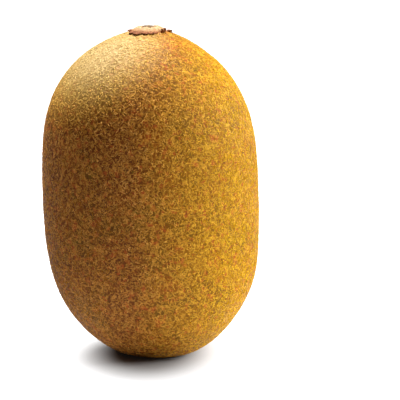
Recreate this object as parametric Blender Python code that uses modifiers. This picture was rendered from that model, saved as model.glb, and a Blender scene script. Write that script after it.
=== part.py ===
"""A golden kiwi fruit, whole and as picked, standing on its blossom end.

The frame is +Z up along the fruit's length, with the origin at the middle of the
bounding box's bottom. -Y is the front.
"""

import math

import bmesh
import bpy
from mathutils import Vector

MM = 0.001

# The fruit's size.
WIDTH = 51.0 * MM
DEPTH_RATIO = 0.96
BODY_HEIGHT = 77.7 * MM
WIDEST_HEIGHT = 37.6 * MM

# The roundness of its shoulders. A power of 2 is an ellipse; a higher power along the
# fruit keeps its sides straight for longer, and a lower one across it peaks its end.
TOP_ALONG = 3.38
TOP_ACROSS = 1.51
BOTTOM_ALONG = 2.89
BOTTOM_ACROSS = 1.49

# How far the fruit grew out of true: its axis leans and bows, three broad faces round its
# girth push it back, and the stem end sits to one side of the axis.
LEAN = 1.24 * MM
BOW = 0.22 * MM
LOBE_SHARE = 0.010
LOBES = 3
SETBACK = LOBE_SHARE * DEPTH_RATIO * WIDTH / 2
STEM_SHIFT = 0.95 * MM
STEM_SPREAD = 9.0 * MM

# The ends.
FLAT_RADIUS = 6.5 * MM
DIMPLE_RADIUS = 2.4 * MM
DIMPLE_DEPTH = 1.7 * MM
SEAT_RADIUS = 4.1 * MM
SEAT_DEPTH = 1.1 * MM
CLEARANCE = 0.35 * MM

# The woody button, in its seat at the stem end.
BUTTON_RADIUS = SEAT_RADIUS - CLEARANCE
BUTTON_TOP = BODY_HEIGHT + 0.5 * MM
BUTTON_CREST_RADIUS = 2.7 * MM
HOLLOW_RADIUS = 1.9 * MM
HOLLOW_DEPTH = 0.85 * MM

# The dried sepals round it.
SEPAL_COUNT = 5
SEPAL_INNER = BUTTON_RADIUS + CLEARANCE
SEPAL_LENGTH = 1.25 * MM
SEPAL_HALF_ANGLE = math.radians(31.0)
SEPAL_THICKNESS = 0.35 * MM
SEPAL_LIFT = 0.35 * MM
SEPAL_TURN = math.radians(18.0)

# The dried remains of the styles, in the dimple at the blossom end.
TUFT_RADIUS = 1.5 * MM
TUFT_LOW = 0.5 * MM
TUFT_HIGH = DIMPLE_DEPTH - CLEARANCE

FRUIT_STEPS = 64
BUTTON_STEPS = 40
TUFT_STEPS = 24
SHOULDER_POINTS = 19
MERGE_DISTANCE = 0.002 * MM


def clear_scene():
    for obj in list(bpy.data.objects):
        bpy.data.objects.remove(obj, do_unlink=True)


def make_collection(name):
    collection = bpy.data.collections.new(name)
    bpy.context.scene.collection.children.link(collection)
    return collection


def make_material(name, colour, roughness):
    material = bpy.data.materials.new(name)
    material.use_nodes = True
    shader = material.node_tree.nodes["Principled BSDF"]
    shader.inputs["Base Color"].default_value = (*colour, 1.0)
    shader.inputs["Roughness"].default_value = roughness
    shader.inputs["Metallic"].default_value = 0.0
    return material


def crown_height(radius):
    """The height of the fruit's top surface at a distance from its axis."""
    cosine = (radius / (WIDTH / 2)) ** (TOP_ACROSS / 2)
    sine = math.sqrt(1.0 - cosine * cosine)
    return WIDEST_HEIGHT + (BODY_HEIGHT - WIDEST_HEIGHT) * sine ** (2 / TOP_ALONG)


def upper_side():
    """The outline as (radius, height), from the seat's rim down to just above the widest point."""
    half_width = WIDTH / 2
    start = math.acos((SEAT_RADIUS / half_width) ** (TOP_ACROSS / 2))
    points = []
    for step in range(SHOULDER_POINTS):
        angle = start * (1.0 - step / SHOULDER_POINTS)
        radius = half_width * math.cos(angle) ** (2 / TOP_ACROSS)
        points.append((radius, crown_height(radius)))
    return points


def lower_side():
    """The outline as (radius, height), from the widest point down to the flat spot's edge."""
    swell = WIDTH / 2 - FLAT_RADIUS
    points = []
    for step in range(SHOULDER_POINTS + 1):
        angle = math.pi / 2 * (1.0 - step / SHOULDER_POINTS)
        radius = FLAT_RADIUS + swell * math.sin(angle) ** (2 / BOTTOM_ACROSS)
        height = WIDEST_HEIGHT * (1.0 - max(math.cos(angle), 0.0) ** (2 / BOTTOM_ALONG))
        points.append((radius, height))
    return points


def fruit_outline():
    floor = crown_height(SEAT_RADIUS) - SEAT_DEPTH
    seat = [
        (0.0, floor),
        (0.6 * SEAT_RADIUS, floor),
        (0.94 * SEAT_RADIUS, floor + 0.12 * SEAT_DEPTH),
        (0.99 * SEAT_RADIUS, floor + 0.5 * SEAT_DEPTH),
    ]
    dimple = [
        (DIMPLE_RADIUS, 0.0),
        (0.93 * DIMPLE_RADIUS, 0.35 * DIMPLE_DEPTH),
        (0.78 * DIMPLE_RADIUS, 0.75 * DIMPLE_DEPTH),
        (0.5 * DIMPLE_RADIUS, 0.96 * DIMPLE_DEPTH),
        (0.0, DIMPLE_DEPTH),
    ]
    return seat + upper_side() + lower_side() + dimple


def button_outline():
    underside = crown_height(SEAT_RADIUS) - SEAT_DEPTH + CLEARANCE
    hollow_floor = BUTTON_TOP - HOLLOW_DEPTH
    return [
        (0.0, hollow_floor),
        (0.62 * HOLLOW_RADIUS, hollow_floor + 0.06 * HOLLOW_DEPTH),
        (HOLLOW_RADIUS, hollow_floor + 0.5 * HOLLOW_DEPTH),
        (0.86 * BUTTON_CREST_RADIUS, BUTTON_TOP - 0.1 * HOLLOW_DEPTH),
        (BUTTON_CREST_RADIUS, BUTTON_TOP),
        (0.9 * BUTTON_RADIUS, BUTTON_TOP - 0.35 * HOLLOW_DEPTH),
        (BUTTON_RADIUS, BUTTON_TOP - 1.1 * HOLLOW_DEPTH),
        (0.97 * BUTTON_RADIUS, underside + 0.3 * HOLLOW_DEPTH),
        (0.85 * BUTTON_RADIUS, underside),
        (0.0, underside),
    ]


def tuft_outline():
    height = TUFT_HIGH - TUFT_LOW
    return [
        (0.0, TUFT_HIGH),
        (0.75 * TUFT_RADIUS, TUFT_HIGH - 0.1 * height),
        (TUFT_RADIUS, TUFT_LOW + 0.5 * height),
        (0.8 * TUFT_RADIUS, TUFT_LOW + 0.25 * height),
        (0.35 * TUFT_RADIUS, TUFT_LOW + 0.1 * height),
        (0.0, TUFT_LOW),
    ]


def grown_place(point):
    """Moves a point of the true, turned shape to where the leaning, bowed fruit has it."""
    span = 2.0 * point.z / BODY_HEIGHT - 1.0
    girth = math.cos(span * math.pi / 2) if abs(span) < 1.0 else 0.0
    azimuth = math.atan2(point.y, point.x)
    swell = 1.0 - LOBE_SHARE * girth * math.sin(LOBES * azimuth)
    axis_x = BOW * span * span - LEAN * span
    if span > 0.0:
        radius = math.hypot(point.x, point.y)
        axis_x += STEM_SHIFT * math.exp(-((radius / STEM_SPREAD) ** 2))
    return Vector((point.x * swell + axis_x, point.y * swell * DEPTH_RATIO - SETBACK, point.z))


def turned_mesh(name, outline, steps):
    """Turns an outline, given from its top to its bottom, into a closed mesh round +Z."""
    profile = bpy.data.meshes.new(name + "_outline")
    points = [(radius, 0.0, height) for radius, height in outline]
    edges = [(index, index + 1) for index in range(len(points) - 1)]
    profile.from_pydata(points, edges, [])
    turned = bpy.data.objects.new(name + "_turned", profile)
    bpy.context.scene.collection.objects.link(turned)

    screw = turned.modifiers.new("Screw", "SCREW")
    screw.axis = "Z"
    screw.steps = steps
    screw.render_steps = steps
    screw.use_merge_vertices = True
    screw.merge_threshold = MERGE_DISTANCE

    depsgraph = bpy.context.evaluated_depsgraph_get()
    mesh = bpy.data.meshes.new_from_object(turned.evaluated_get(depsgraph))
    bpy.data.objects.remove(turned)
    bpy.data.meshes.remove(profile)
    mesh.name = name
    return mesh


def add_object(name, mesh, material, collection):
    mesh.materials.clear()
    mesh.materials.append(material)
    mesh.shade_smooth()
    mesh.set_sharp_from_angle(angle=math.radians(50.0))
    obj = bpy.data.objects.new(name, mesh)
    collection.objects.link(obj)
    return obj


def add_turned_part(name, outline, steps, material, collection):
    mesh = turned_mesh(name, outline, steps)
    shape = bmesh.new()
    shape.from_mesh(mesh)
    bmesh.ops.remove_doubles(shape, verts=shape.verts, dist=MERGE_DISTANCE)
    for vertex in shape.verts:
        vertex.co = grown_place(vertex.co)
    shape.to_mesh(mesh)
    shape.free()
    return add_object(name, mesh, material, collection)


def add_sepal(index, material, collection):
    """A short dried sepal: a curled sheet that follows the crown beside the button."""
    middle = SEPAL_TURN + index * math.tau / SEPAL_COUNT
    shape = bmesh.new()
    bmesh.ops.create_grid(shape, x_segments=6, y_segments=3, size=1.0)
    for vertex in shape.verts:
        across = vertex.co.x
        along = (vertex.co.y + 1.0) / 2
        azimuth = middle - across * SEPAL_HALF_ANGLE * (1.0 - 0.3 * along)
        radius = SEPAL_INNER + SEPAL_LENGTH * along * (1.0 - 0.3 * across * across)
        height = crown_height(radius) + CLEARANCE + SEPAL_LIFT * along * along
        vertex.co = grown_place(Vector((radius * math.cos(azimuth), radius * math.sin(azimuth), height)))

    mesh = bpy.data.meshes.new(f"sepal_{index + 1}")
    shape.to_mesh(mesh)
    shape.free()
    sepal = add_object(f"sepal_{index + 1}", mesh, material, collection)

    solidify = sepal.modifiers.new("Solidify", "SOLIDIFY")
    solidify.thickness = SEPAL_THICKNESS
    solidify.offset = 1.0
    subdivide = sepal.modifiers.new("Subdivision", "SUBSURF")
    subdivide.levels = 1
    subdivide.render_levels = 1
    return sepal


def main():
    clear_scene()
    collection = make_collection("golden_kiwi_fruit")
    skin = make_material("golden_brown_skin", (0.42, 0.25, 0.06), 0.62)
    woody = make_material("woody_button", (0.55, 0.36, 0.20), 0.75)
    dried = make_material("dried_sepal", (0.16, 0.08, 0.03), 0.85)
    tuft = make_material("dried_style", (0.10, 0.06, 0.03), 0.9)

    add_turned_part("fruit", fruit_outline(), FRUIT_STEPS, skin, collection)
    add_turned_part("stem_button", button_outline(), BUTTON_STEPS, woody, collection)
    add_turned_part("style_tuft", tuft_outline(), TUFT_STEPS, tuft, collection)
    for index in range(SEPAL_COUNT):
        add_sepal(index, dried, collection)


main()
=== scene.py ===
"""The finish of a golden kiwi fruit: its freckled skin with short flat hairs, the woody stem
button in its ring of dried sepals, and the dried styles under it, on a pale floor in soft light.

The frame is the part's own: metres, +Z up along the fruit's length, -Y in front."""

import math

import bpy
import numpy as np
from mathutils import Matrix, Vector, noise


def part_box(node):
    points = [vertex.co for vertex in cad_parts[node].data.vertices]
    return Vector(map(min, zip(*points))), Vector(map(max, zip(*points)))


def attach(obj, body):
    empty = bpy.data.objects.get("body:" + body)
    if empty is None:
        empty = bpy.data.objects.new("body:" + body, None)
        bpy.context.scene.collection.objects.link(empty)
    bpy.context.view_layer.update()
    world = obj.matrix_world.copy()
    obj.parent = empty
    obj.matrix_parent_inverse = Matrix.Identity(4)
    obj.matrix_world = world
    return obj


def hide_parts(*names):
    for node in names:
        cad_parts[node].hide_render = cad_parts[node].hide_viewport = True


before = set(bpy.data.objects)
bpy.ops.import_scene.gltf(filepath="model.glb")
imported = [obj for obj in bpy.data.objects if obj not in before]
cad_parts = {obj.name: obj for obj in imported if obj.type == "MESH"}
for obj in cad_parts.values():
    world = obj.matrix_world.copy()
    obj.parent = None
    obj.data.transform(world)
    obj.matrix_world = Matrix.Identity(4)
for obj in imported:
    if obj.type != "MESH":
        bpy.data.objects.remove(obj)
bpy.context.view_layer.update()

MM = 0.001

# ---------------------------------------------------------------- The fruit's shape
# The same proportions as the solid fruit. Its sizes come from the frame.
DEPTH_RATIO = 0.96
BUTTON_RISE = 0.5 * MM
BODY_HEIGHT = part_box("stem_button")[1].z - BUTTON_RISE
HALF_DEPTH = (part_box("fruit")[1].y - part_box("fruit")[0].y) / 2
HALF_WIDTH = HALF_DEPTH / DEPTH_RATIO
WIDEST_HEIGHT = 0.4839 * BODY_HEIGHT

# The roundness of its shoulders. A power of 2 is an ellipse; a higher power along the
# fruit keeps its sides straight for longer, and a lower one across it peaks its end.
TOP_ALONG = 3.38
TOP_ACROSS = 1.51
BOTTOM_ALONG = 2.89
BOTTOM_ACROSS = 1.49

# How far the fruit grew out of true: its axis leans and bows, three broad faces round its
# girth push it back, and the stem end sits to one side of the axis.
LEAN = 1.24 * MM
BOW = 0.22 * MM
LOBE_SHARE = 0.010
LOBES = 3
SETBACK = LOBE_SHARE * HALF_DEPTH
STEM_SHIFT = 0.95 * MM
STEM_SPREAD = 9.0 * MM

# Where it is a little flatter or fuller than its turned shape: the side that the place faces,
# in degrees, then its height, half its extent and how far it stands out, in millimetres. Half
# its turn round the fruit is in radians.
FLATTER_AND_FULLER = [
    (180.0, 47.0, 13.0, -0.27),
    (0.0, 8.5, 6.0, -0.20),
    (-8.0, 18.0, 6.0, 0.22),
    (-70.0, 2.5, 6.0, 0.20),
]
HALF_TURN_OF_A_PLACE = 0.6

# The flat spot and its dimple at the blossom end, and the button's seat at the stem end.
FLAT_RADIUS = 6.5 * MM
DIMPLE_RADIUS = 2.4 * MM
DIMPLE_DEPTH = 1.7 * MM
SEAT_RADIUS = 4.1 * MM
SEAT_DEPTH = 1.1 * MM

SIDE_POINTS = 400

# The noise of one seed lies this many features away from the next seed's.
SEED_SPACING = 19.7


def crown_height(radius):
    """The height of the fruit's top surface at a distance from its axis."""
    cosine = (radius / HALF_WIDTH) ** (TOP_ACROSS / 2)
    sine = math.sqrt(1.0 - cosine * cosine)
    return WIDEST_HEIGHT + (BODY_HEIGHT - WIDEST_HEIGHT) * sine ** (2 / TOP_ALONG)


def side_outline():
    """The outer side as (radius, height), from the seat's rim down to the flat spot's edge."""
    start = math.acos((SEAT_RADIUS / HALF_WIDTH) ** (TOP_ACROSS / 2))
    upper = np.linspace(start, 0.0, SIDE_POINTS, endpoint=False)
    upper_radius = HALF_WIDTH * np.cos(upper) ** (2 / TOP_ACROSS)
    upper_height = WIDEST_HEIGHT + (BODY_HEIGHT - WIDEST_HEIGHT) * np.sin(upper) ** (2 / TOP_ALONG)
    lower = np.linspace(math.pi / 2, 0.0, SIDE_POINTS)
    lower_radius = FLAT_RADIUS + (HALF_WIDTH - FLAT_RADIUS) * np.sin(lower) ** (2 / BOTTOM_ACROSS)
    lower_height = WIDEST_HEIGHT * (1.0 - np.cos(lower).clip(0.0) ** (2 / BOTTOM_ALONG))
    radius = np.concatenate([upper_radius, lower_radius])
    height = np.concatenate([upper_height, lower_height])
    return np.stack([radius, height], axis=1)


def evenly_spaced(points, count):
    """Points at even steps along a polyline, from its first point to its last."""
    steps = np.linalg.norm(np.diff(points, axis=0), axis=1)
    travelled = np.concatenate([[0.0], np.cumsum(steps)])
    wanted = np.linspace(0.0, travelled[-1], count)
    return np.stack([np.interp(wanted, travelled, column) for column in points.T], axis=1)


def grown_place(points):
    """Moves points of the true, turned shape to where the leaning, bowed fruit has them."""
    span = 2.0 * points[..., 2] / BODY_HEIGHT - 1.0
    girth = np.where(np.abs(span) < 1.0, np.cos(span * math.pi / 2), 0.0)
    azimuth = np.arctan2(points[..., 1], points[..., 0])
    swell = 1.0 - LOBE_SHARE * girth * np.sin(LOBES * azimuth)
    radius = np.hypot(points[..., 0], points[..., 1])
    stem_pull = np.where(span > 0.0, STEM_SHIFT * np.exp(-((radius / STEM_SPREAD) ** 2)), 0.0)
    axis_x = BOW * span * span - LEAN * span + stem_pull
    placed = np.empty_like(points)
    placed[..., 0] = points[..., 0] * swell + axis_x
    placed[..., 1] = points[..., 1] * swell * DEPTH_RATIO - SETBACK
    placed[..., 2] = points[..., 2]
    return placed


def local_fullness(turned):
    """How far the fruit stands out of its turned shape, in soft patches."""
    azimuth = np.arctan2(turned[..., 1], turned[..., 0])
    fullness = np.zeros(azimuth.shape)
    for facing, height, half_extent, rise in FLATTER_AND_FULLER:
        turn = (azimuth - math.radians(facing) + math.pi) % math.tau - math.pi
        climb = (turned[..., 2] / MM - height) / half_extent
        fullness += rise * MM * np.exp(-((turn / HALF_TURN_OF_A_PLACE) ** 2) - climb**2)
    return fullness


def noise_at(points, size, seed):
    """Smooth noise, from about -1 to 1, with features of one size, at each point."""
    flat = (points.reshape(-1, 3) / size + SEED_SPACING * seed).tolist()
    return np.array([noise.noise(point) for point in flat]).reshape(points.shape[:-1])


# ---------------------------------------------------------------- Meshes
def turned_grid(outline, columns):
    """The (row, column, xyz) grid that an outline sweeps round +Z."""
    azimuth = np.linspace(0.0, math.tau, columns, endpoint=False)
    grid = np.empty((len(outline), columns, 3))
    grid[..., 0] = outline[:, :1] * np.cos(azimuth)
    grid[..., 1] = outline[:, :1] * np.sin(azimuth)
    grid[..., 2] = outline[:, 1:]
    return grid


def grid_normals(grid):
    """Outward unit normals of a turned grid, whose rows run from its top to its bottom."""
    down = np.gradient(grid, axis=0)
    east = np.roll(grid, -1, axis=1) - np.roll(grid, 1, axis=1)
    normals = np.cross(down, east)
    return normals / np.maximum(np.linalg.norm(normals, axis=2, keepdims=True), 1e-12)


def add_mesh_object(name, points, faces, corner_uvs=None):
    """A smooth mesh object."""
    mesh = bpy.data.meshes.new(name)
    mesh.from_pydata(points.tolist(), [], faces)
    if corner_uvs is not None:
        layer = mesh.uv_layers.new(name="OFBake")
        layer.uv.foreach_set("vector", np.asarray(corner_uvs, dtype=np.float32).ravel())
    mesh.shade_smooth()
    mesh.update()
    obj = bpy.data.objects.new(name, mesh)
    bpy.context.scene.collection.objects.link(obj)
    return obj


def add_turned_object(name, grid, top_pole, bottom_pole):
    """A closed body from a turned grid and the two points that close its ends."""
    rows, columns = grid.shape[:2]
    points = np.concatenate([grid.reshape(-1, 3), [top_pole, bottom_pole]])
    top, bottom = rows * columns, rows * columns + 1
    faces = []
    corner_uvs = []
    for column in range(columns):
        following = (column + 1) % columns
        left, right = column / columns, (column + 1) / columns
        middle = (left + right) / 2
        faces.append((top, column, following))
        corner_uvs.extend([(middle, 1.0), (left, rows / (rows + 1)), (right, rows / (rows + 1))])
        last = (rows - 1) * columns
        faces.append((last + column, bottom, last + following))
        corner_uvs.extend([(left, 1 / (rows + 1)), (middle, 0.0), (right, 1 / (rows + 1))])
        for row in range(rows - 1):
            upper, lower = (rows - row) / (rows + 1), (rows - row - 1) / (rows + 1)
            first, second = row * columns, (row + 1) * columns
            faces.append((first + column, second + column, second + following, first + following))
            corner_uvs.extend([(left, upper), (left, lower), (right, lower), (right, upper)])
    return add_mesh_object(name, points, faces, corner_uvs)


def finish_piece(piece, material, slot, *nodes):
    """Gives a shown piece its material and its body, and hides the nodes that it replaces. The slot is
    not used.
    """
    piece.data.materials.append(material)
    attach(piece, "root")
    if nodes:
        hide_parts(*nodes)


# ---------------------------------------------------------------- Skin
SKIN_ROWS = 268
SKIN_COLUMNS = 360
# Dents, ripples and pebbling, each with its height and the size of its features, in millimetres.
SKIN_BUMPS = [(0.14, 13.0), (0.045, 4.2), (0.022, 1.15)]
# The folds round both ends: how many, how high, and where they run, as the radius of their
# middle and half their length.
FOLDS = 19
FOLD_HEIGHT = 0.05 * MM
STEM_FOLDS = (4.6 * MM, 2.4 * MM)
BLOSSOM_FOLDS = (4.0 * MM, 2.2 * MM)
# Up to the first height the skin is smooth, and over the second one its relief comes in.
SMOOTH_HEIGHT = 0.05 * MM
SETTLING_HEIGHT = 1.5 * MM


def skin_outline():
    """The skin's outline as (radius, height), from the seat's middle down to the dimple's."""
    floor = crown_height(SEAT_RADIUS) - SEAT_DEPTH
    seat = [(0.0, floor), (0.6 * SEAT_RADIUS, floor), (0.92 * SEAT_RADIUS, floor + 0.15 * SEAT_DEPTH)]
    dimple = [
        (DIMPLE_RADIUS + 0.25 * MM, 0.0),
        (DIMPLE_RADIUS, 0.08 * DIMPLE_DEPTH),
        (0.93 * DIMPLE_RADIUS, 0.4 * DIMPLE_DEPTH),
        (0.78 * DIMPLE_RADIUS, 0.78 * DIMPLE_DEPTH),
        (0.5 * DIMPLE_RADIUS, 0.97 * DIMPLE_DEPTH),
        (0.0, DIMPLE_DEPTH),
    ]
    return evenly_spaced(np.concatenate([seat, side_outline(), dimple]), SKIN_ROWS + 2)


def fold_share(radius, middle, half_length):
    """1 in the middle of a ring of folds, falling softly to 0 outwards and inwards."""
    return np.exp(-(((radius - middle) / half_length) ** 2))


def skin_relief(grid, turned):
    """How far the skin stands proud at each point: dents, ripples, pebbling and end folds."""
    azimuth = np.arctan2(turned[..., 1], turned[..., 0])
    radius = np.hypot(turned[..., 0], turned[..., 1])
    height = turned[..., 2]
    relief = local_fullness(turned)
    for seed, (rise, size) in enumerate(SKIN_BUMPS, 1):
        relief += rise * MM * noise_at(grid, size * MM, seed)
    stem_end = fold_share(radius, *STEM_FOLDS) * (height > WIDEST_HEIGHT)
    blossom_end = fold_share(radius, *BLOSSOM_FOLDS) * (height < WIDEST_HEIGHT)
    folds = np.sin(FOLDS * azimuth + 2.6 * noise_at(grid, 5.0 * MM, 4))
    relief += FOLD_HEIGHT * folds * (stem_end + blossom_end)
    # The flat spot stays flat, and the seat and the dimple stay clear of what they hold.
    settled = np.clip((height - SMOOTH_HEIGHT) / SETTLING_HEIGHT, 0.0, 1.0)
    return relief * settled * (radius > 0.9 * SEAT_RADIUS)


def build_skin():
    """Adds the skin, and returns its grid as turned and as grown, for the hairs."""
    outline = skin_outline()
    turned = turned_grid(outline[1:-1], SKIN_COLUMNS)
    grid = grown_place(turned)
    normals = grid_normals(grid)
    grid += normals * skin_relief(grid, turned)[..., None]
    poles = grown_place(np.array([[0.0, 0.0, outline[0, 1]], [0.0, 0.0, outline[-1, 1]]]))
    skin = add_turned_object("skin", grid, poles[0], poles[1])
    finish_piece(skin, skin_material(), "skin", "fruit")
    return turned, grid


# ---------------------------------------------------------------- Short flat hairs
HAIRS_IN_A_PIECE = 14500
# Least and greatest, in millimetres. The lift is how far the tip stands off the skin.
HAIR_LENGTH = (0.50, 0.95)
HAIR_HALF_WIDTH = (0.070, 0.120)
HAIR_LIFT = (0.015, 0.075)
HAIR_SINK = 0.03 * MM
LOWEST_HAIR = 0.9 * MM
# A hair's corners are 0 to 2 round its root, 3 to 5 round its middle and 6 at its tip. Each
# face's corners are followed by where they lie in the hair's own cell of the map: how far
# across the cell, then how far up it.
HAIR_FACES = [
    ((2, 1, 0), (0.6, 0.35, 0.1), (0.0, 0.1, 0.0)),
    ((0, 1, 4, 3), (0.1, 0.35, 0.35, 0.1), (0.15, 0.15, 0.5, 0.5)),
    ((1, 2, 5, 4), (0.35, 0.6, 0.6, 0.35), (0.15, 0.15, 0.5, 0.5)),
    ((2, 0, 3, 5), (0.6, 0.85, 0.85, 0.6), (0.15, 0.15, 0.5, 0.5)),
    ((3, 4, 6), (0.1, 0.35, 0.22), (0.5, 0.5, 0.9)),
    ((4, 5, 6), (0.35, 0.6, 0.47), (0.5, 0.5, 0.9)),
    ((5, 3, 6), (0.6, 0.85, 0.72), (0.5, 0.5, 0.9)),
]
HAIR_CORNERS = 7


def hair_roots(turned, grid, count, generator):
    """Seats for hairs, in soft patches over the open skin: points, normals and tangents."""
    down = np.diff(grid, axis=0)
    east = np.roll(grid, -1, axis=1) - grid
    areas = np.linalg.norm(np.cross(down, east[:-1]), axis=2)
    radius = np.hypot(turned[..., 0], turned[..., 1])[:-1]
    height = turned[..., 2][:-1]
    clear_of_button = (radius > 1.12 * SEAT_RADIUS) | (height < WIDEST_HEIGHT)
    open_skin = (height > LOWEST_HAIR) & clear_of_button
    patchiness = 0.75 + 0.5 * noise_at(grid[:-1], 7.0 * MM, 5)
    weights = (areas * open_skin * patchiness.clip(0.2)).ravel()
    chosen = generator.choice(weights.size, size=count, p=weights / weights.sum())
    row, column = np.divmod(chosen, grid.shape[1])
    following = (column + 1) % grid.shape[1]
    along, across = generator.random((2, count, 1))
    upper = grid[row, column] * (1 - across) + grid[row, following] * across
    lower = grid[row + 1, column] * (1 - across) + grid[row + 1, following] * across
    points = upper * (1 - along) + lower * along
    normals = grid_normals(grid)[row, column]
    south = lower - upper
    south -= normals * (south * normals).sum(axis=1, keepdims=True)
    south /= np.linalg.norm(south, axis=1, keepdims=True)
    return points, normals, south


def hair_corners(turned, grid, count, generator):
    """The corners of every hair: each lies on the skin, bends half way along and tapers."""
    points, normals, south = hair_roots(turned, grid, count, generator)
    east = np.cross(normals, south)
    heading = generator.uniform(0.0, math.tau, (count, 1))
    bend = generator.normal(0.0, 0.8, (count, 1))
    length = generator.uniform(*HAIR_LENGTH, (count, 1)) * MM
    half_width = generator.uniform(*HAIR_HALF_WIDTH, (count, 1)) * MM
    lift = generator.uniform(*HAIR_LIFT, (count, 1)) * MM

    first = south * np.cos(heading) + east * np.sin(heading)
    second = south * np.cos(heading + bend) + east * np.sin(heading + bend)
    root = points - HAIR_SINK * normals - 0.5 * length * first
    middle = root + 0.5 * length * first + (HAIR_SINK + 0.4 * lift) * normals
    tip = middle + 0.5 * length * second + 0.6 * lift * normals
    first_side = np.cross(normals, first) * half_width
    second_side = np.cross(normals, second) * half_width * 0.85
    ridge = 0.7 * half_width * normals
    root_ring = [root - first_side, root + first_side, root + ridge]
    middle_ring = [middle - second_side, middle + second_side, middle + ridge]
    return np.stack([*root_ring, *middle_ring, tip], axis=1)


def lay_hairs(name, material, turned, grid, seed):
    """One piece of short hairs, each a closed spike."""
    count = HAIRS_IN_A_PIECE
    corners = hair_corners(turned, grid, count, np.random.default_rng(seed))
    faces = []
    for first in range(0, HAIR_CORNERS * count, HAIR_CORNERS):
        faces.extend(tuple(first + corner for corner in face) for face, _, _ in HAIR_FACES)

    cell_uvs = np.array([pair for _, across, up in HAIR_FACES for pair in zip(across, up)])
    cells = math.ceil(math.sqrt(count))
    cell_corner = np.stack([np.arange(count) % cells, np.arange(count) // cells], axis=1)
    corner_uvs = (cell_corner[:, None, :] + cell_uvs[None]) / cells
    hairs = add_mesh_object(name, corners.reshape(-1, 3), faces, corner_uvs)
    finish_piece(hairs, material, "skin")


# ---------------------------------------------------------------- Stem button
BUTTON_TOP = BODY_HEIGHT + BUTTON_RISE
BUTTON_ROWS = 94
BUTTON_COLUMNS = 200
# In millimetres: the dark middle and the ring's crest, the gap under the button in its seat,
# and how far the surface is lowered, so that its roughness stays under the button's top.
CORE_RADIUS = 1.75
CREST_RADIUS = 2.5
SEAT_GAP = 0.35
HEADROOM = 0.06
# Below this depth the button is out of sight and stays plain.
HIDDEN_DEPTH = 1.75 * MM
# How many of each go round the ring.
CRACKS = 21
FIBRES = 47


def button_outline():
    """The button's outline, from its middle outwards and down, then back under it."""
    # In millimetres: the radius, and the depth below the button's top.
    upper = [
        (0.0, 0.02),
        (1.2, 0.0),
        (CORE_RADIUS, 0.12),
        (1.95, 0.40),
        (2.15, 0.24),
        (CREST_RADIUS, 0.06),
        (3.0, 0.26),
        (3.6, 0.62),
        (4.1, 1.00),
        (4.32, 1.24),
        (4.1, 1.42),
    ]
    underside = (BUTTON_TOP - crown_height(SEAT_RADIUS) + SEAT_DEPTH) / MM - SEAT_GAP
    points = np.array(upper + [(3.5, underside), (0.0, underside)]) * MM
    points[:, 1] = BUTTON_TOP - points[:, 1]
    return evenly_spaced(points, BUTTON_ROWS + 2)


def build_button():
    """The woody button: a ring cut by cracks, with a rough, slightly sunk middle."""
    outline = button_outline()
    turned = turned_grid(outline[1:-1], BUTTON_COLUMNS)
    azimuth = np.arctan2(turned[..., 1], turned[..., 0])
    # The radius and the heights that follow are in millimetres.
    radius = np.hypot(turned[..., 0], turned[..., 1]) / MM
    shown = np.clip((turned[..., 2] - BUTTON_TOP + HIDDEN_DEPTH) / (0.4 * MM), 0.0, 1.0)
    on_ring = np.clip((radius - CORE_RADIUS) / 0.5, 0.0, 1.0)
    cracks = np.sin(CRACKS * azimuth + 4.0 * noise_at(turned, 1.5 * MM, 6))
    fibres = np.sin(FIBRES * azimuth + 3.0 * noise_at(turned, 0.9 * MM, 17))
    rough = 0.11 * noise_at(turned, 0.75 * MM, 7) + 0.06 * noise_at(turned, 0.3 * MM, 8)
    sag = 0.20 * noise_at(turned, 2.4 * MM, 9)
    # Cracks only cut down into the ring, so its crest stays the highest line.
    cuts = 0.16 * np.clip(cracks - 0.3, 0.0, 1.0) + 0.03 * fibres
    turned[..., 2] += (rough + sag - HEADROOM - on_ring * cuts) * shown * MM
    spread = 1.0 + (0.05 * noise_at(turned, 1.7 * MM, 10) + 0.012 * fibres) * shown * on_ring
    turned[..., :2] *= spread[..., None]
    grid = grown_place(turned)
    ends = np.array([[0.0, 0.0, outline[0, 1] - HEADROOM * MM], [0.0, 0.0, outline[-1, 1]]])
    poles = grown_place(ends)
    button = add_turned_object("woody_button", grid, poles[0], poles[1])
    finish_piece(button, button_material(), "woody_button", "stem_button")


# ---------------------------------------------------------------- Dried sepals
SEPAL_TURN = math.radians(18.0)
SEPAL_COUNT = 5
SEPAL_ACROSS_STEPS = 40
SEPAL_ALONG_STEPS = 16
# Where a sepal starts, in millimetres from the axis, and how steeply the crown falls there,
# in degrees.
SEPAL_INNER = 4.0
CROWN_FALL = 16.0
# Length and thickness in millimetres, how far the tip curls up and half the width in degrees,
# then how far it sits round the button, in degrees, and out from it, in millimetres.
SEPAL_FORMS = [
    (1.10, 0.34, 22.0, 11.0, -14.0, 0.40),
    (1.15, 0.18, 20.0, 33.0, 0.0, 0.0),
    (1.20, 0.18, 6.0, 27.0, -6.0, 0.0),
    (1.70, 0.20, -6.0, 52.0, 17.0, 0.0),
    (1.90, 0.26, 215.0, 10.0, 15.0, -0.1),
]


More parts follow.
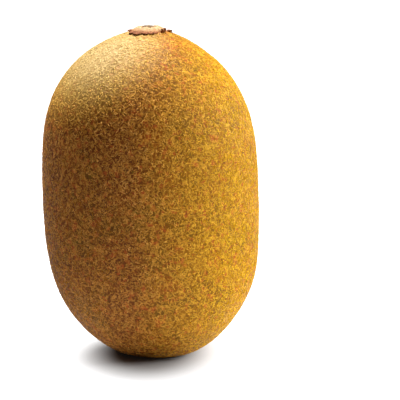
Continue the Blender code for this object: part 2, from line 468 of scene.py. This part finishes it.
def sepal_sheet(index):
    """The upper side of a sepal as a (step along, step across, xyz) grid."""
    length, _, curl, half_angle, turn, outset = SEPAL_FORMS[index]
    middle = SEPAL_TURN + index * math.tau / SEPAL_COUNT + math.radians(turn)
    inner = SEPAL_INNER + outset
    across_line = np.linspace(-1, 1, SEPAL_ACROSS_STEPS)
    across, along = np.meshgrid(across_line, np.linspace(0, 1, SEPAL_ALONG_STEPS))
    # Each sepal takes its own stretch of the noise.
    stretch = np.stack([across + 5.1 * index, along * 0.6, np.zeros_like(along)], axis=-1)
    tips = stretch[-1:]
    ragged = 0.80 + 0.35 * noise_at(tips, 0.35, 11) + 0.30 * noise_at(tips, 0.10, 12)
    reach = length * ragged * (1.0 - 0.22 * across[-1:] ** 4)
    # The sheet follows the crown, then bends upwards towards its tip, in millimetres.
    slope = math.radians(-CROWN_FALL) + math.radians(curl + CROWN_FALL) * along**1.8
    step = reach / (SEPAL_ALONG_STEPS - 1)
    outward = inner + np.cumsum(np.cos(slope) * step, axis=0)
    upward = np.cumsum(np.sin(slope) * step, axis=0)
    wrinkle = 0.09 * noise_at(stretch, 0.14, 13) + 0.12 * noise_at(stretch, 0.4, 14)
    azimuth = middle - across * math.radians(half_angle) * (1.0 - 0.25 * along)
    azimuth += math.radians(2.5) * noise_at(stretch, 0.3, 15)
    radius = outward * MM
    height = crown_height(inner * MM) + 0.06 * MM + (upward + wrinkle * along) * MM
    resting = np.vectorize(crown_height)(radius.clip(0.0, 0.5 * HALF_WIDTH)) + 0.05 * MM
    height = np.maximum(height, resting)
    sheet = np.stack([radius * np.cos(azimuth), radius * np.sin(azimuth), height], axis=-1)
    return grown_place(sheet)


def build_sepal(index, material):
    """One dried sepal: a ragged, wrinkled sheet with a thickness."""
    faces = []
    for row in range(SEPAL_ALONG_STEPS - 1):
        for column in range(SEPAL_ACROSS_STEPS - 1):
            corner = row * SEPAL_ACROSS_STEPS + column
            above = corner + SEPAL_ACROSS_STEPS
            faces.append((corner, corner + 1, above + 1, above))
    points = sepal_sheet(index).reshape(-1, 3)
    sepal = add_mesh_object(f"dried_sepal_{index + 1}", points, faces)
    solidify = sepal.modifiers.new("Solidify", "SOLIDIFY")
    solidify.thickness = SEPAL_FORMS[index][1] * MM
    solidify.offset = 1.0
    finish_piece(sepal, material, "dried_sepal", f"sepal_{index + 1}")


# ---------------------------------------------------------------- Dried styles at the blossom end
STYLE_COUNT = 22
STYLE_SPREAD = 1.25 * MM
STYLE_RADIUS = 0.11 * MM
STYLE_SIDES = 6
STYLE_RINGS = 7
# Each style points this much further round than the last, in radians, which spreads them evenly.
GOLDEN_ANGLE = 2.399963
# No style runs along this direction, so it gives each of them a sideways one.
ASIDE = (0.31, 0.17, 0.93)
# The scar that they grow from: its outline as radius and height, in millimetres.
SCAR_OUTLINE = [(0.0, 0.0), (0.9, -0.04), (1.35, -0.16), (1.45, -0.32), (1.1, -0.45), (0.0, -0.5)]
SCAR_LIFT = 0.12 * MM
SCAR_ROWS = 24
SCAR_COLUMNS = 72


def spike(start, finish, bow):
    """A closed, curved, tapering spike as points and faces."""
    axis = finish - start
    length = np.linalg.norm(axis)
    axis = axis / length
    side = np.cross(axis, ASIDE)
    side /= np.linalg.norm(side)
    other = np.cross(axis, side)
    points = []
    faces = [tuple(range(STYLE_SIDES - 1, -1, -1))]
    for ring in range(STYLE_RINGS):
        share = ring / STYLE_RINGS
        centre = start + axis * length * share + side * bow * math.sin(math.pi * share)
        width = STYLE_RADIUS * (1.0 - 0.75 * share)
        for corner in range(STYLE_SIDES):
            angle = math.tau * corner / STYLE_SIDES
            points.append(centre + width * (side * math.cos(angle) + other * math.sin(angle)))
    points.append(finish)
    for ring in range(STYLE_RINGS):
        for corner in range(STYLE_SIDES):
            first = ring * STYLE_SIDES + corner
            second = ring * STYLE_SIDES + (corner + 1) % STYLE_SIDES
            if ring < STYLE_RINGS - 1:
                faces.append((first, second, second + STYLE_SIDES, first + STYLE_SIDES))
            else:
                faces.append((first, second, STYLE_RINGS * STYLE_SIDES))
    return points, faces


def build_scar(top):
    """The small pad that the styles grow from."""
    outline = evenly_spaced(np.array(SCAR_OUTLINE), SCAR_ROWS + 2) * MM
    pad = turned_grid(outline[1:-1], SCAR_COLUMNS)
    pad[..., 2] += 0.06 * MM * noise_at(pad, 0.4 * MM, 16)
    pad += top
    bottom = top + np.array([0.0, 0.0, outline[-1, 1]])
    scar = add_turned_object("style_scar", pad, top, bottom)
    finish_piece(scar, dried_material("dried_scar", DRIED_SCAR), "dried_style", "style_tuft")


def build_styles():
    """A tuft of dried styles that spread and hang in the dimple, and the scar over them."""
    generator = np.random.default_rng(31)
    low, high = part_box("style_tuft")
    centre = np.array([(low.x + high.x) / 2, (low.y + high.y) / 2, high.z - 0.1 * MM])
    points = []
    faces = []
    for number in range(STYLE_COUNT):
        azimuth = number * GOLDEN_ANGLE
        spread = STYLE_SPREAD * math.sqrt((number + 0.5) / STYLE_COUNT)
        outward = np.array([math.cos(azimuth), math.sin(azimuth), 0.0])
        start = centre + outward * spread * 0.45
        reach = generator.uniform(0.55, 1.0)
        finish = centre + outward * (spread + 0.3 * MM * reach)
        finish[2] = centre[2] - generator.uniform(0.35, 0.95) * MM
        spike_points, spike_faces = spike(start, finish, generator.normal(0.0, 0.10) * MM)
        faces.extend(tuple(len(points) + corner for corner in face) for face in spike_faces)
        points.extend(spike_points)
    styles = add_mesh_object("dried_styles", np.array(points), faces)
    finish_piece(styles, dried_material("dried_style", DRIED_STYLE), "dried_style")
    build_scar(centre + np.array([0.0, 0.0, SCAR_LIFT]))


# ---------------------------------------------------------------- Colours
# All are linear. The skin's base, from its browner side, painted darker as shade, to its golden side,
# painted brighter as light.
SHADED_BROWN_BASE = (0.160, 0.040, 0.001)
LIT_GOLDEN_BASE = (0.385, 0.165, 0.0005)
# What varies it, from the widest patches to the smallest.
OLIVE_PATCH = (0.155, 0.072, 0.0005)
RUSTY_PATCH = (0.330, 0.075, 0.001)
GREEN_FLECK = (0.140, 0.092, 0.002)
RED_FLECK = (0.460, 0.090, 0.012)
DARK_PIT = (0.070, 0.022, 0.0005)
# The fine pale streaks over it, painted darker on the shaded side and brighter on the lit side.
SHADED_BROWN_STREAK = (0.620, 0.255, 0.036)
LIT_GOLDEN_STREAK = (0.760, 0.410, 0.014)
# The painted highlight on the shoulder.
HIGHLIGHT_BASE = (0.480, 0.310, 0.100)
HIGHLIGHT_STREAK = (0.760, 0.580, 0.270)
HIGHLIGHT_HAIR = (0.780, 0.600, 0.290)
# The hairs, each pair from dark to light, painted darker on the shaded side and brighter on the lit
# side.
SHADED_BROWN_HAIRS = ((0.430, 0.165, 0.018), (0.820, 0.400, 0.095))
LIT_GOLDEN_HAIRS = ((0.580, 0.290, 0.003), (0.850, 0.515, 0.025))
# The button.
DARK_WOOD = (0.430, 0.220, 0.090)
PALE_WOOD = (0.820, 0.560, 0.290)
WOOD_RAY = (0.300, 0.125, 0.040)
BROWN_SKIRT = (0.380, 0.140, 0.035)
DARK_CORE = (0.065, 0.036, 0.010)
PALE_CORE = (0.240, 0.140, 0.050)
WOOD_SPECK = (0.190, 0.080, 0.028)
# The dried pieces.
DRIED_SEPAL = (0.120, 0.038, 0.010)
DRIED_STYLE = (0.030, 0.016, 0.008)
DRIED_SCAR = (0.060, 0.032, 0.014)
# The floor.
FLOOR_DARK = (0.32, 0.32, 0.32)
FLOOR_PALE = (0.34, 0.34, 0.34)
WHITE = (1.0, 1.0, 1.0, 1.0)

# The middle of the painted highlight, a paler patch on the shoulder beside the stem.
HIGHLIGHT_CENTRE = (-11.0 * MM, -6.0 * MM, 70.0 * MM)


# ---------------------------------------------------------------- Shader nodes
def feed(tree, socket, value):
    """Links an input to another node's output, or sets it to a value."""
    if isinstance(value, bpy.types.NodeSocket):
        tree.links.new(value, socket)
    else:
        socket.default_value = value


def node(tree, kind, **inputs):
    """Adds a shader node, and feeds its inputs by name."""
    made = tree.nodes.new(kind)
    for key, value in inputs.items():
        feed(tree, made.inputs[key], value)
    return made


def operated(tree, kind, operation, values):
    """Adds a node that does one operation on its inputs, in their order."""
    made = tree.nodes.new(kind)
    made.operation = operation
    for socket, value in zip(made.inputs, values):
        feed(tree, socket, value)
    return made


def number_math(tree, operation, *values):
    """The outcome of one operation on numbers."""
    return operated(tree, "ShaderNodeMath", operation, values).outputs[0]


def vector_math(tree, operation, *values):
    """The outcome of one operation on vectors: a vector, or a number if it is a length."""
    made = operated(tree, "ShaderNodeVectorMath", operation, values)
    return made.outputs["Value" if operation == "LENGTH" else "Vector"]


def mixed(tree, factor, first, second):
    """A colour between two others."""
    made = tree.nodes.new("ShaderNodeMix")
    made.data_type = "RGBA"
    feed(tree, made.inputs[0], factor)
    # A Mix node's colours come in at inputs 6 and 7, and go out at output 2.
    for socket, colour in ((made.inputs[6], first), (made.inputs[7], second)):
        feed(tree, socket, (*colour, 1.0) if isinstance(colour, tuple) else colour)
    return made.outputs[2]


def ranged(tree, value, low, high, to_low=0.0, to_high=1.0, curve="LINEAR"):
    """A value mapped from one range to another, and kept inside it."""
    made = tree.nodes.new("ShaderNodeMapRange")
    made.interpolation_type = curve
    for socket, number in zip(made.inputs, (value, low, high, to_low, to_high)):
        feed(tree, socket, number)
    return made.outputs[0]


def sized_noise(tree, place, size, detail=2.0, distortion=0.0):
    """Noise, mostly from 0.3 to 0.7, with features of about one size."""
    made = node(tree, "ShaderNodeTexNoise", Vector=place, Scale=1.0 / size, Detail=detail)
    made.inputs["Distortion"].default_value = distortion
    return made.outputs["Fac"]


def patches(tree, place, size, low, high, strength, detail=2.0, distortion=0.0):
    """Scattered patches: 0 where the noise is low, rising to a strength where it is high."""
    field = sized_noise(tree, place, size, detail, distortion)
    return ranged(tree, field, low, high, 0.0, strength)


def streaks(tree, place, size, width):
    """1 along short worm-like lines, and 0 between them."""
    offset = number_math(tree, "SUBTRACT", sized_noise(tree, place, size, 1.0, 0.8), 0.5)
    return ranged(tree, number_math(tree, "ABSOLUTE", offset), 0.0, width, 1.0, 0.0)


def near_share(tree, place, centre, inner, outer, scale=(1.0, 1.0, 1.0)):
    """1 within a distance of a point, falling softly to 0 at a larger one."""
    offset = vector_math(tree, "SUBTRACT", place, centre)
    distance = vector_math(tree, "LENGTH", vector_math(tree, "MULTIPLY", offset, scale))
    return ranged(tree, distance, inner, outer, 1.0, 0.0, "SMOOTHSTEP")


def axis_place(tree, place, axis):
    """How far along X, Y or Z a place is."""
    return node(tree, "ShaderNodeSeparateXYZ", Vector=place).outputs[axis]


# ---------------------------------------------------------------- Materials
def new_material(name):
    """A material, its node tree, its shader and the place in the frame, in metres."""
    material = bpy.data.materials.new(name)
    material.use_nodes = True
    tree = material.node_tree
    shader = tree.nodes["Principled BSDF"]
    place = tree.nodes.new("ShaderNodeTexCoord").outputs["Object"]
    return material, tree, shader, place


def set_surface(tree, shader, colour, roughness, specular):
    feed(tree, shader.inputs["Base Color"], colour)
    feed(tree, shader.inputs["Roughness"], roughness)
    feed(tree, shader.inputs["Specular IOR Level"], specular)


def add_bump(tree, shader, height, distance, strength):
    bump = node(tree, "ShaderNodeBump", Height=height, Distance=distance, Strength=strength)
    tree.links.new(bump.outputs["Normal"], shader.inputs["Normal"])


def lit_side_share(tree, place):
    """0 on the fruit's browner left side, painted as shade, rising to 1 on its golden right side,
    painted as light, and to nearly 1 round the painted highlight on the shoulder."""
    # Painted light and shade: brighter and more golden towards the lamps on the right, darker and
    # browner on the left.
    side = ranged(tree, axis_place(tree, place, "X"), -4 * MM, 18 * MM)
    # The painted highlight on the shoulder beside the stem.
    shoulder_highlight = near_share(tree, place, HIGHLIGHT_CENTRE, 9 * MM, 21 * MM)
    return number_math(tree, "MAXIMUM", side, number_math(tree, "MULTIPLY", shoulder_highlight, 0.85))


def painted_highlight_share(tree, place):
    """0.82 in the middle of the painted highlight on the shoulder, falling to 0 round it."""
    return number_math(tree, "MULTIPLY", near_share(tree, place, HIGHLIGHT_CENTRE, 2 * MM, 19 * MM), 0.82)


def skin_material():
    """Golden-brown skin, mottled and pitted, under fine pale streaks, with painted light and shade:
    golden on its lit side, browner on its shaded side, and a painted highlight on one shoulder.
    """
    material, tree, shader, place = new_material("freckled_skin")
    # Painted light and shade across the fruit: brighter on the lit right side, darker on the shaded
    # left side.
    lit_side = lit_side_share(tree, place)
    # The painted highlight on the shoulder.
    highlight = painted_highlight_share(tree, place)
    base = mixed(tree, lit_side, SHADED_BROWN_BASE, LIT_GOLDEN_BASE)
    base = mixed(tree, patches(tree, place, 9 * MM, 0.50, 0.66, 0.6), base, OLIVE_PATCH)
    base = mixed(tree, patches(tree, place, 6.5 * MM, 0.54, 0.70, 0.5, 3.0, 0.5), base, RUSTY_PATCH)
    base = mixed(tree, patches(tree, place, 1.5 * MM, 0.56, 0.64, 0.7), base, RED_FLECK)
    base = mixed(tree, patches(tree, place, 1.6 * MM, 0.58, 0.70, 0.5, 2.0, 0.4), base, GREEN_FLECK)
    base = mixed(tree, patches(tree, place, 0.55 * MM, 0.50, 0.66, 0.5, 1.0), base, DARK_PIT)
    # The painted highlight pales the base and the streaks.
    base = mixed(tree, highlight, base, HIGHLIGHT_BASE)
    pale = mixed(tree, highlight, mixed(tree, lit_side, SHADED_BROWN_STREAK, LIT_GOLDEN_STREAK), HIGHLIGHT_STREAK)
    worms = streaks(tree, place, 0.95 * MM, 0.085)
    patchy = ranged(tree, sized_noise(tree, place, 2.2 * MM), 0.35, 0.60, 0.55, 1.0)
    colour = mixed(tree, number_math(tree, "MULTIPLY", worms, patchy), base, pale)
    set_surface(tree, shader, colour, ranged(tree, worms, 0.0, 1.0, 0.62, 0.50), 0.15)
    relief = mixed(tree, 0.55, worms, sized_noise(tree, place, 0.5 * MM, 2.0))
    add_bump(tree, shader, relief, 0.08 * MM, 1.0)
    return material


def hair_material():
    """Hairs from dark to light, tinted like the skin under them, with its painted light and shade."""
    material, tree, shader, place = new_material("short_hair")
    shade = ranged(tree, sized_noise(tree, place, 0.9 * MM, 1.0), 0.35, 0.65)
    # Painted light and shade on the hairs: brighter on the lit side, darker on the shaded side.
    shaded_hairs = mixed(tree, shade, *SHADED_BROWN_HAIRS)
    lit_hairs = mixed(tree, shade, *LIT_GOLDEN_HAIRS)
    colour = mixed(tree, lit_side_share(tree, place), shaded_hairs, lit_hairs)
    # The painted highlight on the shoulder pales the hairs.
    colour = mixed(tree, painted_highlight_share(tree, place), colour, HIGHLIGHT_HAIR)
    set_surface(tree, shader, colour, 0.8, 0.08)
    return material


def button_material():
    """Pale, cracked, woody tissue round a dark granular middle."""
    material, tree, shader, place = new_material("dry_woody_scar")
    low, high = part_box("stem_button")
    middle = ((low.x + high.x) / 2, (low.y + high.y) / 2, 0.0)
    flat = vector_math(tree, "MULTIPLY", vector_math(tree, "SUBTRACT", place, middle), (1.0, 1.0, 0.0))
    radius = vector_math(tree, "LENGTH", flat)
    facing = vector_math(tree, "NORMALIZE", flat)
    wander = sized_noise(tree, place, 0.7 * MM, 3.0)
    # The edge of the dark middle wanders in and out with the noise.
    edge = number_math(tree, "MULTIPLY_ADD", wander, 2.2 * MM, radius)
    inside = ranged(tree, edge, 2.70 * MM, 3.35 * MM, 1.0, 0.0)
    rays = patches(tree, facing, 0.16, 0.50, 0.66, 0.75, 3.0, 0.4)
    cream = mixed(tree, rays, mixed(tree, wander, DARK_WOOD, PALE_WOOD), WOOD_RAY)
    height = axis_place(tree, place, "Z")
    skirt = ranged(tree, height, BUTTON_TOP - 0.45 * MM, BUTTON_TOP - 1.2 * MM)
    wood = mixed(tree, skirt, cream, BROWN_SKIRT)
    grains = patches(tree, place, 0.42 * MM, 0.42, 0.62, 1.0)
    core = mixed(tree, grains, DARK_CORE, PALE_CORE)
    specks = patches(tree, place, 0.28 * MM, 0.50, 0.70, 0.6, 3.0)
    colour = mixed(tree, specks, mixed(tree, inside, wood, core), WOOD_SPECK)
    set_surface(tree, shader, colour, ranged(tree, wander, 0.3, 0.7, 0.65, 0.85), 0.25)
    relief = mixed(tree, 0.5, sized_noise(tree, place, 0.22 * MM, 4.0), rays)
    add_bump(tree, shader, relief, 0.07 * MM, 0.9)
    return material


def dried_material(name, dark):
    """Brittle brown plant matter, paler along its raised fibres and darker in blotches."""
    material, tree, shader, place = new_material(name)
    pale = tuple(min(1.0, 3.4 * value + 0.02) for value in dark)
    darker = tuple(0.6 * value for value in dark)
    fibres = patches(tree, place, 0.32 * MM, 0.38, 0.72, 1.0, 4.0, 0.6)
    blotches = patches(tree, place, 0.9 * MM, 0.5, 0.7, 0.6)
    colour = mixed(tree, blotches, mixed(tree, fibres, dark, pale), darker)
    set_surface(tree, shader, colour, ranged(tree, fibres, 0.0, 1.0, 0.9, 0.7), 0.2)
    add_bump(tree, shader, sized_noise(tree, place, 0.2 * MM, 4.0), 0.05 * MM, 0.9)
    return material


# ---------------------------------------------------------------- Stage, light and camera
CENTRE = Vector((0.0, 0.0, BODY_HEIGHT / 2))
VIEW_ELEVATION = math.radians(10.0)
VIEW_DISTANCE = 0.60
LENS = 228.2
SENSOR_WIDTH = 36.0
# The fruit stands left of the picture's middle and a little above it.
AIM_RIGHT = 11.71 * MM
AIM_DOWN = 2.08 * MM

# The round soft boxes: azimuth (0 is on the camera's side, and 90 is on the right) and elevation
# in degrees, size in metres and power in watts.
LIGHT_DISTANCE = 0.8
LIGHTS = {
    "left_front_fill": (-25, 5, 0.35, 0.4),
    "right_front_box": (71, 29, 0.35, 3.8),
    "right_box": (90, 14, 0.35, 3.8),
    "right_top_box": (90, 50, 0.35, 0.8),
    "back_top_box": (180, 75, 0.35, 7.8),
    "back_left_box": (216, 62, 0.35, 8.0),
    "back_right_box": (130, 12, 0.25, 1.4),
}

FLOOR_RADIUS = 3.0
FLOOR_SIDES = 96
# The fruit's shade on the floor is an oval. The patch that lights the fruit is in front of it
# and to its right. Both fade from their inner radius to their outer one.
SHADE_CENTRE = (-0.8 * MM, 0.0, 0.0)
SHADE_RADII = (7 * MM, 20 * MM)
SHADE_SCALE = (1.0, 0.55, 1.0)
LIT_CENTRE = (22 * MM, -26 * MM, 0.0)
LIT_RADII = (25 * MM, 75 * MM)


def build_camera():
    """The photo's view: from the front, a little above, through a long lens."""
    data = bpy.data.cameras.new("camera")
    data.lens = LENS
    data.sensor_width = SENSOR_WIDTH
    data.clip_start = 0.01
    camera = bpy.data.objects.new("camera", data)
    bpy.context.scene.collection.objects.link(camera)
    away = Vector((0.0, -math.cos(VIEW_ELEVATION), math.sin(VIEW_ELEVATION)))
    upward = Vector((0.0, math.sin(VIEW_ELEVATION), math.cos(VIEW_ELEVATION)))
    camera.location = CENTRE + VIEW_DISTANCE * away + AIM_RIGHT * Vector((1, 0, 0)) - AIM_DOWN * upward
    camera.rotation_euler = (math.pi / 2 - VIEW_ELEVATION, 0.0, 0.0)
    bpy.context.scene.camera = camera


def build_light(name, azimuth, elevation, size, power):
    """A round soft box that faces the fruit's middle."""
    data = bpy.data.lights.new(name, "AREA")
    data.shape = "DISK"
    data.size = size
    data.energy = power
    light = bpy.data.objects.new(name, data)
    bpy.context.scene.collection.objects.link(light)
    turn, rise = math.radians(azimuth), math.radians(elevation)
    away = Vector((math.sin(turn) * math.cos(rise), -math.cos(turn) * math.cos(rise), math.sin(rise)))
    light.location = CENTRE + away * LIGHT_DISTANCE
    light.rotation_euler = away.to_track_quat("Z", "Y").to_euler()


def camera_sees(tree):
    """1 for what the camera sees for itself, and 0 for light that bounces."""
    return tree.nodes.new("ShaderNodeLightPath").outputs["Is Camera Ray"]


def build_floor():
    """A lit white table: it glows everywhere but where the fruit's own shade falls on it."""
    azimuth = np.linspace(0.0, math.tau, FLOOR_SIDES, endpoint=False)
    ring = [FLOOR_RADIUS * np.cos(azimuth), FLOOR_RADIUS * np.sin(azimuth), np.zeros_like(azimuth)]
    points = np.stack(ring, axis=1)
    floor = add_mesh_object("floor", points, [tuple(range(len(points)))])
    material, tree, shader, place = new_material("pale_floor")
    colour = mixed(tree, sized_noise(tree, place, 4.0 * MM, 2.0), FLOOR_DARK, FLOOR_PALE)
    set_surface(tree, shader, colour, 0.9, 0.1)
    shade = near_share(tree, place, SHADE_CENTRE, *SHADE_RADII, SHADE_SCALE)
    glow = ranged(tree, shade, 0.0, 1.0, 1.0, 0.0)
    # Only the patch lights the fruit. The rest of the glow is a plain backdrop, for the camera.
    lit = near_share(tree, place, LIT_CENTRE, *LIT_RADII)
    share = number_math(tree, "MAXIMUM", camera_sees(tree), lit)
    shader.inputs["Emission Color"].default_value = WHITE
    feed(tree, shader.inputs["Emission Strength"], number_math(tree, "MULTIPLY", glow, share))
    floor.data.materials.append(material)


def build_world():
    """A studio that gives no light of its own, and shows as plain white."""
    world = bpy.data.worlds.new("studio")
    bpy.context.scene.world = world
    world.use_nodes = True
    tree = world.node_tree
    background = tree.nodes["Background"]
    background.inputs["Color"].default_value = WHITE
    feed(tree, background.inputs["Strength"], camera_sees(tree))


def main():
    bpy.context.scene.view_settings.view_transform = "Standard"
    turned, grid = build_skin()
    hairs = hair_material()
    lay_hairs("short_hairs_a", hairs, turned, grid, 11)
    lay_hairs("short_hairs_b", hairs, turned, grid, 12)
    build_button()
    sepals = dried_material("dried_sepal", DRIED_SEPAL)
    for index in range(SEPAL_COUNT):
        build_sepal(index, sepals)
    build_styles()
    build_floor()
    build_world()
    for name, form in LIGHTS.items():
        build_light(name, *form)
    build_camera()


main()
